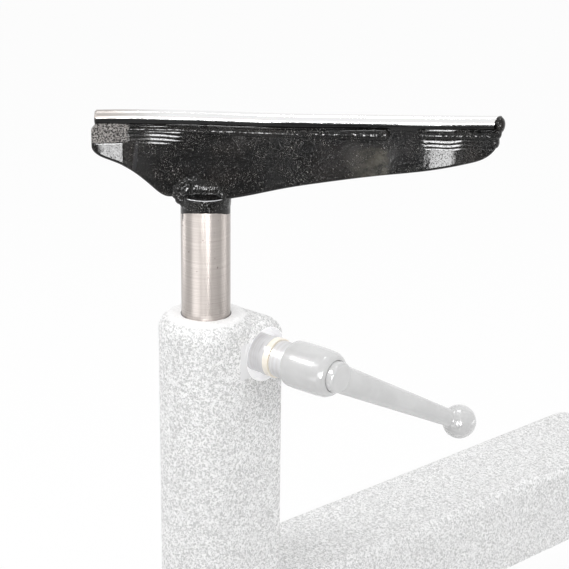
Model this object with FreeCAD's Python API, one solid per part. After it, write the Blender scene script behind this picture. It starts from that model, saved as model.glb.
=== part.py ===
# Lathe tool rest, its round post, and the cast holder that carries it on a lathe bed.
# Millimetres. Origin on the sole of the holder, on the axis of the post. +Z is up, +Y runs
# along the foot arm away from the turner, and +X points to the side of the clamp lever.
import FreeCAD
import Part
import math
import os
from FreeCAD import Vector

# Post and the column that holds it
post_radius = 12.7
post_fit = 0.06
post_shown = 63.1
post_top_chamfer = 1.8
post_sunk = 77.0
post_drop = 55.0
bore_floor_gap = 8.0
end_chamfer = 1.0
column_top = 213.0
column_radius = 24.7
column_edge_radius = 8.0
lug_centre = (14.5, 30.3)
lug_radius = 7.0
foot_fillet = 4.0

# Tool rest: plate outline is measured along the plate and down from the rod centre, and its
# right corner back from the right end
rest_turn = 49.0
plate_thickness = 6.0
plate_left = -56.5
plate_right = 146.0
plate_foot_depth = 40.3
plate_foot_left = -18.0
plate_foot_right = 13.0
plate_left_corner = (-56.5, -13.0)
plate_left_curve = [(-56.1, -15.4), (-54.0, -18.0), (-48.0, -21.2), (-41.0, -24.6), (-34.8, -28.6),
                    (-28.9, -33.4), (-24.2, -37.5), (-21.2, -39.5)]
plate_right_curve = [(25.6, -37.5), (37.7, -34.5), (61.8, -30.1), (85.9, -26.8),
                     (109.9, -24.0), (131.5, -19.8)]
plate_right_corner = [(-7.6, -17.6), (-2.4, -13.4), (0.0, -7.0)]
rod_radius = 4.0
rod_height = 40.3
rod_left = -54.6
rod_right = 152.3
rod_left_chamfer = 0.8
rod_end_slant = 55.0
plate_bow = [(-70.0, 2.8), (-57.0, 1.8), (-36.0, 0.0), (0.0, 1.0), (38.0, 4.2), (75.0, 4.7),
             (105.0, 4.9), (130.0, 4.4), (160.0, 3.8)]
bead_height = 4.3
bead_swell = 2.4
bead_drop = 5.6
bead_runs = [(-50.0, 92.0), (105.0, 145.0)]
post_weld_length = 18.0
post_weld_width = 8.6
post_weld_height = 12.8
post_weld_skirt = 5.0
weld_fit = 0.08

# Foot arm of the holder
arm_half_width = 31.5
arm_height = 54.0
arm_end = 335.0
arm_nose_centre = -6.0
arm_corner_radius = 12.0
arm_edge_radius = 6.0
channel_start = 40.0
channel_end_wall = 14.0
channel_half_width = 18.0
channel_ceiling = 41.0

# Clamp across the column: two cotters on a stud, drawn together by a lever
clamp_turn = 10.0
clamp_depth = 21.8
clamp_offset = 18.0
clamp_boss_radius = 19.4
clamp_boss_reach = 26.5
clamp_boss_edge = 8.0
back_boss_radius = 15.4
back_boss_end = -22.0
spot_face = 20.0
spot_radius = 14.4
cotter_radius = 10.15
cotter_fit = 0.05
cotter_gap = 3.0
cotter_outer_end = 28.6
cotter_end_chamfer = 0.5
cotter_inner_length = 13.5
cotter_back_room = 2.0
stud_radius = 4.76
stud_fit = 0.05
stud_length = 58.0
stud_setback = 1.0
steel_washer_thickness = 3.0
steel_washer_radius = 10.6
brass_washer_thickness = 3.2
brass_washer_radius = 10.5
neck_radius = 9.7
neck_length = 10.8
neck_chamfer = 0.6
tooth_radius = 7.2
tooth_depth = 0.7
tooth_count = 20
tooth_length = 3.8
tooth_fit = 0.12

# Lever
hub_start = 9.0
hub_profile = [(0.0, 11.2), (1.2, 12.2), (6.0, 12.5), (14.0, 12.5), (20.0, 12.4), (24.2, 11.9),
               (26.6, 10.7), (27.6, 9.2)]
hub_neck_fit = 0.25
hub_web = 2.8
hub_bore_radius = 8.2
cap_edge_radius = 1.6
cap_screw_fit = 0.3
cap_radius = 7.95
cap_reach = 4.2
cap_depth = 3.6
cap_screw_radius = 3.0
spring_wire = 0.55
spring_radius = 5.9
spring_turns = 5.0
ball_radius = 9.3
ball_reach = 96.0
ball_stand = 93.0
lever_droop = 29.6
arm_root_size = (8.2, 6.6)
arm_tip_size = (4.5, 4.0)
arm_root_stand = 60.0

# Cam shaft and bed clamp
shaft_offset = 2.2
shaft_height = 24.0
journal_radius = 9.5
journal_fit = 0.05
shaft_room = 1.0
cam_radius = 7.0
cam_throw = 2.4
cam_start_angle = 140.0
shaft_nose = 0.2
shaft_tail = 6.0
bush_radius = 12.5
bush_length = 16.0
boss_front = -42.0
shaft_boss_radius = 16.5
ring_thickness = 1.5
ring_radius = 12.0
ring_groove_depth = 1.2
ring_clearance = 0.5
ring_gap = 5.0
handle_hub_radius = 14.5
handle_hub_length = 23.0
handle_hub_gap = 0.8
handle_rise = 18.0
handle_rod_radius = 5.0
handle_rod_length = 92.0
handle_hub_edge = 1.5
knob_radius = 14.0
knob_flat = 1.5
knob_offset = 3.0
set_screw_radius = 3.0
set_screw_sunk = 0.4
socket_radius = 1.7
socket_depth = 2.6
cam_overlap = 4.0
clamp_place = 150.0
eye_radius = 14.0
eye_gap = 0.6
eye_width = 16.0
bolt_radius = 6.0
bed_thickness = 32.0
plate_size = (76.0, 60.0, 12.0)
clamp_plate_corner = 6.0
bolt_fit = 0.5
bed_washer_radius = 12.0
bed_washer_thickness = 2.5
nut_flats = 19.0
nut_height = 10.0
bolt_tail = 4.0

# Heights and stations that follow from the sizes above
plate_foot = column_top + post_shown
rod_centre = plate_foot + rod_height
clamp_height = column_top - clamp_depth
steel_washer_start = cotter_outer_end
brass_washer_start = steel_washer_start + steel_washer_thickness
neck_start = brass_washer_start + brass_washer_thickness
tooth_start = neck_start + neck_length
tooth_end = tooth_start + tooth_length
stud_end = tooth_start - stud_setback
hub_base = neck_start + hub_start
hub_end = hub_base + hub_profile[-1][0]
web_end = tooth_end + hub_web
cap_seat = hub_end - cap_depth
clamp_plate_top = -bed_thickness
clamp_plate_bottom = clamp_plate_top - plate_size[2]
washer_bottom = clamp_plate_bottom - bed_washer_thickness
nut_bottom = washer_bottom - nut_height
shaft_front = boss_front - handle_hub_gap - handle_hub_length - shaft_nose
shaft_rear = arm_end + shaft_tail
beyond_rest = max(-plate_left, rod_right)
bow_at_post = dict(plate_bow)[0.0]
X = Vector(1, 0, 0)
Y = Vector(0, 1, 0)
Z = Vector(0, 0, 1)


def rod(radius, start, end, axis, base=Vector(0, 0, 0)):
    """Round bar along an axis, from one station on it to another."""
    return Part.makeCylinder(radius, end - start, base + axis * start, axis)


def block(low, high):
    """Box between two corners."""
    size = [b - a for a, b in zip(low, high)]
    return Part.makeBox(size[0], size[1], size[2], Vector(*low))


def spun(profile, axis_point, axis):
    """Solid of revolution; the profile is a closed list of points."""
    wire = Part.makePolygon([Vector(*p) for p in profile + profile[:1]])
    return Part.Face(wire).revolve(axis_point, axis, 360)


def on_rest(shape):
    """Turns a piece of the rest from its own line to where the rest points."""
    shape.rotate(Vector(0, 0, 0), Z, rest_turn)
    return shape


def on_clamp(shape):
    """Moves a clamp piece, modelled along X, to the axis of the cross bore."""
    shape.translate(Vector(0, clamp_offset, clamp_height))
    shape.rotate(Vector(0, 0, 0), Z, clamp_turn)
    return shape


def post_space(radius):
    """Round bar on the post's axis, as the clamp pieces see it before they are moved."""
    return rod(radius, -column_top, column_top, Z, Vector(0, -clamp_offset, 0))


def bow_curve(side=0.0):
    """Plan line of the plate, moved sideways by a given distance."""
    middle = Part.BSplineCurve()
    middle.interpolate([Vector(u, -w, 0) for u, w in plate_bow])
    if side == 0.0:
        return middle
    points = []
    for u, w in plate_bow:
        place = Vector(u, -w, 0)
        along = middle.tangent(middle.parameter(place))[0]
        points.append(place + Vector(-along.y, along.x, 0) * side)
    line = Part.BSplineCurve()
    line.interpolate(points)
    return line


def along_bow(height, width, side, drop, start, end):
    """Bar of round or oval section that follows the plate's plan line between two stations."""
    path = bow_curve(side)
    heading = path.tangent(path.FirstParameter)[0]
    centre = path.value(path.FirstParameter) + Z * (rod_centre - drop)
    if height > width:
        section = Part.Ellipse(centre + Z * height, centre + heading.cross(Z) * width, centre)
    else:
        section = Part.Circle(centre, heading, height)
    route = Part.Wire([path.toShape()])
    route.translate(Z * (rod_centre - drop))
    bar = route.makePipeShell([Part.Wire([section.toShape()])], True, False)
    reach = block((start, -beyond_rest, 0), (end, beyond_rest, 2 * rod_centre))
    return bar.common(reach)


def plate_outline():
    """Front view of the plate: straight ends, S curve at the left, long taper at the right."""
    def at(point):
        return Vector(point[0], 0, rod_centre + point[1])

    foot_left = at((plate_foot_left, -plate_foot_depth))
    foot_right = at((plate_foot_right, -plate_foot_depth))
    top_left = at((plate_left, 0))
    top_right = at((plate_right, 0))
    left = Part.BSplineCurve()
    left.interpolate([at(plate_left_corner)] + [at(p) for p in plate_left_curve] + [foot_left])
    corner = [at((plate_right + back, down)) for back, down in plate_right_corner]
    right = Part.BSplineCurve()
    right.interpolate([foot_right] + [at(p) for p in plate_right_curve] + corner)
    edges = [Part.makeLine(top_left, at(plate_left_corner)),
             left.toShape(),
             Part.makeLine(foot_left, foot_right),
             right.toShape(),
             Part.makeLine(corner[-1], top_right),
             Part.makeLine(top_right, top_left)]
    return Part.Face(Part.Wire(edges))


def gauge_rod():
    """Polished rod on the plate's top edge, slanted at its right end and chamfered at its left."""
    bar = along_bow(rod_radius, rod_radius, 0.0, 0.0, rod_left, rod_right)
    cutter = block((0, -beyond_rest, -beyond_rest), (beyond_rest, beyond_rest, beyond_rest))
    cutter.rotate(Vector(0, 0, 0), Z, rod_end_slant - 90.0)
    cutter.translate(Vector(rod_right - rod_radius, 0, rod_centre))
    bar = bar.cut(cutter)
    left_rim = [e for e in bar.Edges if e.BoundBox.XMax < rod_left + 1e-3]
    return bar.makeChamfer(rod_left_chamfer, left_rim)


def rest_plate():
    """Bent plate of even thickness, cut to its outline and cradling the rod."""
    near = bow_curve(-plate_thickness / 2)
    far = bow_curve(plate_thickness / 2)
    first = Part.makeLine(far.StartPoint, near.StartPoint)
    last = Part.makeLine(near.EndPoint, far.EndPoint)
    band = Part.Face(Part.Wire([first, near.toShape(), last, far.toShape()]))
    band.translate(Z * (plate_foot - 1))
    blank = band.extrude(Z * (rod_height + rod_radius))
    outline = plate_outline()
    outline.translate(Y * -beyond_rest)
    plate = blank.common(outline.extrude(Y * 2 * beyond_rest))
    return plate.cut(along_bow(rod_radius, rod_radius, 0.0, 0.0, rod_left - 5, rod_right + 5))


def rod_weld(plate):
    """Stitched beads in the corner below the rod, on both faces of the plate."""
    beads = []
    bar = along_bow(rod_radius, rod_radius, 0.0, 0.0, rod_left - 5, rod_right + 5)
    for side in (-1, 1):
        for start, end in bead_runs:
            bead = along_bow(bead_height, bead_swell, side * plate_thickness / 2, bead_drop, start, end)
            beads.append(bead.cut(bar).cut(plate))
    return Part.makeCompound(beads)


def post_weld(plate):
    """Heaped weld on both faces of the plate, run down round the rim of the post."""
    heap = Part.makeSphere(1.0)
    stretch = FreeCAD.Matrix()
    stretch.scale(post_weld_length, post_weld_width, post_weld_height)
    room = post_weld_length + post_weld_height
    upper = heap.transformGeometry(stretch).common(block((-room, -room, 0), (room, room, room)))
    stretch = FreeCAD.Matrix()
    stretch.scale(post_weld_length, post_weld_width, post_weld_skirt)
    lower = heap.transformGeometry(stretch).common(block((-room, -room, -room), (room, room, 0)))
    weld = upper.fuse(lower)
    weld.translate(Vector(0, -bow_at_post, plate_foot))
    return weld.cut(post_bar(weld_fit)).cut(plate)


def post_bar(room):
    """Post with both ends chamfered; room is what is added to its radius."""
    bottom = column_top - post_sunk
    bar = rod(post_radius + room, bottom, plate_foot, Z)
    bar = bar.makeChamfer(end_chamfer, edges_at_height(bar, bottom))
    return bar.makeChamfer(post_top_chamfer, edges_at_height(bar, plate_foot))


def column_plan():
    """Round column and the corner of its clamp lug, joined by tangent lines."""
    lug = Vector(lug_centre[0], lug_centre[1], 0)
    heading = math.atan2(lug.y, lug.x)
    spread = math.acos((column_radius - lug_radius) / lug.Length)

    def ray(angle, radius):
        return Vector(math.cos(angle), math.sin(angle), 0) * radius

    front = heading - spread
    back = heading + spread
    lug_start = lug + ray(front, lug_radius)
    lug_finish = lug + ray(back, lug_radius)
    column_start = ray(back, column_radius)
    column_finish = ray(front, column_radius)
    edges = [Part.makeLine(column_finish, lug_start),
             Part.Arc(lug_start, lug + ray(heading, lug_radius), lug_finish).toShape(),
             Part.makeLine(lug_finish, column_start),
             Part.Arc(column_start, ray(heading, -column_radius), column_finish).toShape()]
    return Part.Face(Part.Wire(edges))


def arm_plan():
    """Foot arm seen from above: round at the column, rounded corners at the far end."""
    side = arm_half_width
    corner = arm_corner_radius
    inset = corner * (1 - math.sqrt(0.5))
    nose = Vector(0, arm_nose_centre, 0)

    def end_corner(hand):
        before = Vector(hand * side, arm_end - corner, 0)
        middle = Vector(hand * (side - inset), arm_end - inset, 0)
        after = Vector(hand * (side - corner), arm_end, 0)
        return Part.Arc(before, middle, after)

    right = end_corner(1)
    left = end_corner(-1)
    edges = [Part.Arc(nose - X * side, nose - Y * side, nose + X * side).toShape(),
             Part.makeLine(nose + X * side, right.StartPoint),
             right.toShape(),
             Part.makeLine(right.EndPoint, left.EndPoint),
             left.toShape(),
             Part.makeLine(left.StartPoint, nose - X * side)]
    return Part.Face(Part.Wire(Part.sortEdges(edges)[0]))


def edges_at_height(shape, height):
    """Level edges of a shape at one height."""
    boxes = [(edge, edge.BoundBox) for edge in shape.Edges]
    return [edge for edge, box in boxes if abs(box.ZMin - height) < 1e-6 and box.ZLength < 1e-6]


def upright(face):
    """True for a face whose middle looks sideways."""
    u_low, u_high, v_low, v_high = face.ParameterRange
    return abs(face.normalAt((u_low + u_high) / 2, (v_low + v_high) / 2).z) < 1e-3


def foot_edges(body):
    """Edges where the sides of the column meet the rounded top of the arm."""
    found = []
    for edge in body.Edges:
        box = edge.BoundBox
        on_arm_top = box.ZMin > arm_height - arm_edge_radius + 0.1 and box.ZMax < arm_height + 0.1
        if on_arm_top and any(upright(face) for face in body.ancestorsOfType(edge, Part.Face)):
            found.append(edge)
    return found


def holder_casting():
    """Column, clamp boss and hollow foot arm, cast in one."""
    arm = arm_plan().extrude(Z * arm_height)
    arm = arm.makeFillet(arm_edge_radius, edges_at_height(arm, arm_height))
    column = rod(column_radius, channel_ceiling, column_top, Z)
    column = column.makeFillet(column_edge_radius, edges_at_height(column, column_top))
    lug = column_plan()
    lug.translate(Z * channel_ceiling)
    head = lug.extrude(Z * (column_top - channel_ceiling))
    lug = lug.extrude(Z * (clamp_height - channel_ceiling))
    body = arm.fuse([column, lug]).removeSplitter()
    body = body.makeFillet(foot_fillet, foot_edges(body))
    boss = rod(clamp_boss_radius, 0, clamp_boss_reach, X)
    rim = [edge for edge in boss.Edges if edge.BoundBox.XMin > clamp_boss_reach - 1e-3]
    boss = on_clamp(boss.makeFillet(clamp_boss_edge, rim)).common(head)
    back_boss = on_clamp(rod(back_boss_radius, back_boss_end, 0, X))
    shaft_boss = rod(shaft_boss_radius, boss_front, 0, Y, Vector(shaft_offset, 0, shaft_height))
    body = body.fuse([boss, back_boss, shaft_boss])

    # Bore for the post, cross bore for the cotters, and the spot face
    bore_floor = column_top - post_sunk - post_drop - bore_floor_gap
    body = body.cut(rod(post_radius + post_fit, bore_floor, column_top + 1, Z))
    back = -(cotter_gap / 2 + cotter_inner_length + cotter_back_room)
    body = body.cut(on_clamp(rod(cotter_radius + cotter_fit, back, 2 * column_radius, X)))
    body = body.cut(on_clamp(rod(spot_radius, spot_face, 2 * column_radius, X)))

    # Channel under the arm, and the seats of the cam shaft and its bushes
    channel = block((-channel_half_width, channel_start, -1),
                    (channel_half_width, arm_end - channel_end_wall, channel_ceiling))
    body = body.cut(channel)
    shaft_line = Vector(shaft_offset, 0, shaft_height)
    body = body.cut(rod(journal_radius + shaft_room, boss_front - 1, arm_end + 1, Y, shaft_line))
    body = body.cut(rod(bush_radius, boss_front - 1, boss_front + bush_length, Y, shaft_line))
    return body.cut(rod(bush_radius, arm_end - channel_end_wall, arm_end + 1, Y, shaft_line))


def cotter_outer():
    """Plain cotter next to the lever; its end stands out of the spot face."""
    body = rod(cotter_radius, cotter_gap / 2, cotter_outer_end, X)
    rim = [e for e in body.Edges if e.BoundBox.XMin > cotter_outer_end - 1e-3]
    body = body.makeChamfer(cotter_end_chamfer, rim)
    body = body.cut(rod(stud_radius + stud_fit, 0, cotter_outer_end + 1, X))
    return on_clamp(body.cut(post_space(post_radius + post_fit)))


def cotter_inner():
    """Threaded cotter at the blind end of the cross bore."""
    body = rod(cotter_radius, -cotter_gap / 2 - cotter_inner_length, -cotter_gap / 2, X)
    body = body.cut(rod(stud_radius + stud_fit, -column_radius, 0, X))
    return on_clamp(body.cut(post_space(post_radius + post_fit)))


def clamp_stud():
    """Stud from inside the inner cotter to inside the lever's insert."""
    return on_clamp(rod(stud_radius, stud_end - stud_length, stud_end, X))


def washer(radius, start, thickness):
    ring = rod(radius, start, start + thickness, X)
    return on_clamp(ring.cut(rod(stud_radius + stud_fit, start - 1, start + thickness + 1, X)))


def toothed_bar(extra, start, end):
    """Bar with pointed teeth all round, as on the insert of an adjustable lever."""
    points = []
    for index in range(2 * tooth_count):
        radius = tooth_radius + extra - (tooth_depth if index % 2 else 0)
        angle = math.pi * index / tooth_count
        points.append(Vector(start, radius * math.cos(angle), radius * math.sin(angle)))
    return Part.Face(Part.makePolygon(points + points[:1])).extrude(X * (end - start))


def lever_insert():
    """Steel neck on the stud, with the teeth that the hub sits on."""
    neck = rod(neck_radius, neck_start, tooth_start, X)
    rim = [e for e in neck.Edges if e.BoundBox.XMax < neck_start + 1e-3]
    neck = neck.makeChamfer(neck_chamfer, rim)
    body = neck.fuse(toothed_bar(0.0, tooth_start, tooth_end))
    body = body.cut(rod(stud_radius, neck_start - 1, stud_end, X))
    return on_clamp(body.cut(rod(cap_screw_radius, stud_end, tooth_end + 1, X)))


def lever_cap():
    """Screw in the insert; its round head closes the hub and holds the spring."""
    head = rod(cap_radius, cap_seat, hub_end + cap_reach, X)
    rim = [e for e in head.Edges if e.BoundBox.XMin > hub_end + cap_reach - 1e-3]
    head = head.makeFillet(cap_edge_radius, rim)
    return on_clamp(head.fuse(rod(cap_screw_radius, stud_end, cap_seat, X)))


def lever_spring():
    """Compression spring between the web of the hub and the head of the cap screw."""
    room = cap_seat - web_end - 2 * spring_wire
    helix = Part.makeHelix(room / spring_turns, room, spring_radius)
    ring = Part.Wire([Part.Circle(Vector(spring_radius, 0, 0), Y, spring_wire).toShape()])
    coil = helix.makePipeShell([ring], True, True)
    coil.rotate(Vector(0, 0, 0), Y, 90)
    coil.translate(X * (web_end + spring_wire))
    return on_clamp(coil)


def lever_handle():
    """Cast hub, tapered arm and ball end in one piece."""
    outline = [(hub_base, 0, 0)]
    outline += [(hub_base + along, radius, 0) for along, radius in hub_profile]
    outline += [(hub_end, 0, 0)]
    hub = spun(outline, Vector(0, 0, 0), X)

    droop = math.radians(lever_droop)
    reach = Vector(0, math.cos(droop), -math.sin(droop))
    root = X * arm_root_stand
    ball = X * ball_stand + reach * ball_reach
    heading = (ball - root).normalize()
    across = heading.cross(X).normalize()
    sections = []
    for place, size in ((root, arm_root_size), (ball, arm_tip_size)):
        oval = Part.Ellipse(place + across * size[0], place + heading.cross(across) * size[1], place)
        sections.append(Part.Wire([oval.toShape()]))
    arm = Part.makeLoft(sections, True, True)
    body = hub.fuse([arm, Part.makeSphere(ball_radius, ball)])

    body = body.cut(rod(neck_radius + hub_neck_fit, neck_start, tooth_start, X))
    body = body.cut(toothed_bar(tooth_fit, tooth_start - 0.01, tooth_end))
    body = body.cut(rod(cap_screw_radius + cap_screw_fit, tooth_start, hub_end, X))
    return on_clamp(body.cut(rod(hub_bore_radius, web_end, hub_end + cap_reach, X)))


def cam_shaft():
    """Shaft along the arm, turned off centre between its two journals."""
    line = Vector(shaft_offset, 0, shaft_height)
    angle = math.radians(cam_start_angle)
    cam_line = line + Vector(math.cos(angle), 0, math.sin(angle)) * cam_throw
    front = rod(journal_radius, shaft_front, channel_start + cam_overlap, Y, line)
    middle = rod(cam_radius, channel_start, arm_end - channel_end_wall, Y, cam_line)
    rear = rod(journal_radius, arm_end - channel_end_wall - cam_overlap, shaft_rear, Y, line)
    groove = rod(journal_radius, arm_end, arm_end + ring_thickness, Y, line)
    groove = groove.cut(rod(journal_radius - ring_groove_depth, arm_end, shaft_rear, Y, line))
    groove.translate(Y * ring_clearance)
    return front.fuse([middle, rear]).cut(groove)


def bush(start, length):
    line = Vector(shaft_offset, 0, shaft_height)
    ring = rod(bush_radius, start, start + length, Y, line)
    return ring.cut(rod(journal_radius + journal_fit, start - 1, start + length + 1, Y, line))


def shaft_ring():
    """Retaining ring in the groove behind the rear wall."""
    line = Vector(shaft_offset, arm_end + ring_clearance, shaft_height)
    ring = rod(ring_radius, 0, ring_thickness, Y, line)
    ring = ring.cut(rod(journal_radius - ring_groove_depth, -1, ring_thickness + 1, Y, line))
    gap = block((-ring_gap / 2, -1, -2 * ring_radius), (ring_gap / 2, ring_thickness + 1, 0))
    gap.translate(line)
    return ring.cut(gap)


def on_handle(shape):
    """Moves a handle piece, modelled along X, to the front end of the cam shaft."""
    shape.rotate(Vector(0, 0, 0), Y, -handle_rise)
    middle = boss_front - handle_hub_gap - handle_hub_length / 2
    shape.translate(Vector(shaft_offset, middle, shaft_height))
    return shape


def handle_hub():
    hub = rod(handle_hub_radius, -handle_hub_length / 2, handle_hub_length / 2, Y)
    rims = [e for e in hub.Edges if abs(e.CenterOfMass.y) > handle_hub_length / 2 - 1e-6]
    hub = hub.makeFillet(handle_hub_edge, rims)
    hub = hub.cut(rod(journal_radius, -handle_hub_length, handle_hub_length, Y))
    hub = hub.cut(rod(handle_rod_radius, 0, 2 * handle_hub_radius, X))
    return on_handle(hub.cut(rod(set_screw_radius, 0, 2 * handle_hub_radius, Z)))


def handle_set_screw():
    top = handle_hub_radius - set_screw_sunk
    screw = rod(set_screw_radius, journal_radius, top, Z)
    return on_handle(screw.cut(rod(socket_radius, top - socket_depth, top + 1, Z)))


def handle_rod():
    return on_handle(rod(handle_rod_radius, journal_radius, handle_rod_length, X))


def handle_knob():
    """Ball knob, flattened where it meets the rod."""
    centre = handle_rod_length + knob_offset
    ball = Part.makeSphere(knob_radius, X * centre)
    flat = centre - knob_radius + knob_flat
    ball = ball.cut(block((0, -knob_radius, -knob_radius), (flat, knob_radius, knob_radius)))
    return on_handle(ball.cut(rod(handle_rod_radius, 0, handle_rod_length, X)))


def cam_centre():
    angle = math.radians(cam_start_angle)
    return Vector(shaft_offset + cam_throw * math.cos(angle), 0, shaft_height + cam_throw * math.sin(angle))


def clamp_bolt():
    """Eye bolt that hangs on the cam and passes down through the gap of the bed."""
    centre = Vector(0, clamp_place - eye_width / 2, cam_centre().z)
    eye = rod(eye_radius, 0, eye_width, Y, centre)
    stem = rod(bolt_radius, nut_bottom - bolt_tail, centre.z - cam_radius, Z, Vector(0, clamp_place, 0))
    body = eye.fuse(stem)
    return body.cut(rod(cam_radius + eye_gap, -1, eye_width + 1, Y, centre))


def clamp_plate():
    """Plate that is drawn up against the underside of the bed."""
    width, length, thickness = plate_size
    body = block((-width / 2, -length / 2, -thickness), (width / 2, length / 2, 0))
    corners = [e for e in body.Edges if e.BoundBox.ZLength > thickness / 2]
    body = body.makeFillet(clamp_plate_corner, corners)
    body = body.makeChamfer(end_chamfer, edges_at_height(body, -thickness))
    body = body.cut(rod(bolt_radius + bolt_fit, -thickness - 1, 1, Z))
    body.translate(Vector(0, clamp_place, clamp_plate_top))
    return body


def clamp_washer():
    ring = rod(bed_washer_radius, 0, bed_washer_thickness, Z)
    ring = ring.cut(rod(bolt_radius + bolt_fit, -1, bed_washer_thickness + 1, Z))
    ring.translate(Vector(0, clamp_place, washer_bottom))
    return ring


def clamp_nut():
    """Hexagon nut with its corners turned off at both faces."""
    half = nut_flats / 2
    corner = nut_flats / math.sqrt(3)
    bevel = (corner - half) * math.tan(math.radians(30))
    angles = [math.radians(60 * index) for index in range(7)]
    points = [Vector(corner * math.cos(angle), corner * math.sin(angle), 0) for angle in angles]
    body = Part.Face(Part.makePolygon(points)).extrude(Z * nut_height)
    turned = [(0, 0, 0), (half, 0, 0), (corner, 0, bevel), (corner, 0, nut_height - bevel),
              (half, 0, nut_height), (0, 0, nut_height)]
    body = body.common(spun(turned, Vector(0, 0, 0), Z))
    body = body.cut(rod(bolt_radius, -1, nut_height + 1, Z))
    body.translate(Vector(0, clamp_place, nut_bottom))
    return body


plate = rest_plate()
pieces = {
    "rest_plate": on_rest(plate.copy()),
    "gauge_rod": on_rest(gauge_rod()),
    "rod_weld": on_rest(rod_weld(plate)),
    "post_weld": on_rest(post_weld(plate)),
    "post": post_bar(0.0),
    "holder_casting": holder_casting(),
    "cotter_outer": cotter_outer(),
    "cotter_inner": cotter_inner(),
    "clamp_stud": clamp_stud(),
    "steel_washer": washer(steel_washer_radius, steel_washer_start, steel_washer_thickness),
    "brass_washer": washer(brass_washer_radius, brass_washer_start, brass_washer_thickness),
    "lever_insert": lever_insert(),
    "lever_spring": lever_spring(),
    "lever_handle": lever_handle(),
    "lever_cap": lever_cap(),
    "cam_shaft": cam_shaft(),
    "front_bush": bush(boss_front, bush_length),
    "rear_bush": bush(arm_end - channel_end_wall, channel_end_wall),
    "shaft_ring": shaft_ring(),
    "handle_hub": handle_hub(),
    "handle_set_screw": handle_set_screw(),
    "handle_rod": handle_rod(),
    "handle_knob": handle_knob(),
    "clamp_bolt": clamp_bolt(),
    "clamp_plate": clamp_plate(),
    "clamp_washer": clamp_washer(),
    "clamp_nut": clamp_nut(),
}

os.makedirs("parts", exist_ok=True)
for name, shape in pieces.items():
    shape.exportStep("parts/" + name + ".step")
    print(name, "solids", len(shape.Solids), "valid", shape.isValid(), "volume", round(shape.Volume, 1))
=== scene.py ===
import math

import bmesh
import bpy
import numpy
from mathutils import Matrix, Vector, kdtree, noise


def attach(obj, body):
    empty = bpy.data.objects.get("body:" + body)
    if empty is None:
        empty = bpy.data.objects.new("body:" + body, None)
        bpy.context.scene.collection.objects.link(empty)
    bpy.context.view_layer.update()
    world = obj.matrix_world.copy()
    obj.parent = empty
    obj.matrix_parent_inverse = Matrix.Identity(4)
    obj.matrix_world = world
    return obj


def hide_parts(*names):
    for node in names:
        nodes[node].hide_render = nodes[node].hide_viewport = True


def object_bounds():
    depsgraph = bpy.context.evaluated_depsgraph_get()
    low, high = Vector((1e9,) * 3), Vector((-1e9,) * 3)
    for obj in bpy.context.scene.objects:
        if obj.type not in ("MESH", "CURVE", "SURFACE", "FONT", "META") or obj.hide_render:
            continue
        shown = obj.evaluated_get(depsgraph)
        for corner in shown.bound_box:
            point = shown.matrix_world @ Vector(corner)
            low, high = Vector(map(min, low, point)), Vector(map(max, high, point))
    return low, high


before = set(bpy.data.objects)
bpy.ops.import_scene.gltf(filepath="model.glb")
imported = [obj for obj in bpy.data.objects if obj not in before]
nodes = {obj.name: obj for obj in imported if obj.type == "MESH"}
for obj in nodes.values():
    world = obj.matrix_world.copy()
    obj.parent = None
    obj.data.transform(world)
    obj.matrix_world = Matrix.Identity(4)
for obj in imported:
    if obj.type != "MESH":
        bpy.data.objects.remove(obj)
cad_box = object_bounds()
scene = bpy.context.scene
scene.view_settings.view_transform = "Standard"

# ---------------------------------------------------------------- camera
# Stands square to the plate of the rest and looks a little down at it, from a little under a metre away.
# Its place, turn and lens were fitted to the post, the bore's mouth and the edges of the arm.
camera = bpy.data.objects.new("camera", bpy.data.cameras.new("camera"))
camera.data.sensor_width = 36.0
camera.data.lens = 107.9
place = Matrix.Translation((0.6488, -0.5104, 0.5291))
heading = Matrix.Rotation(math.radians(49.0), 4, "Z")
tilt = Matrix.Rotation(math.radians(70.0), 4, "X")
roll = Matrix.Rotation(math.radians(0.7), 4, "Z")
camera.matrix_world = place @ heading @ tilt @ roll
scene.collection.objects.link(camera)
scene.camera = camera


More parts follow.
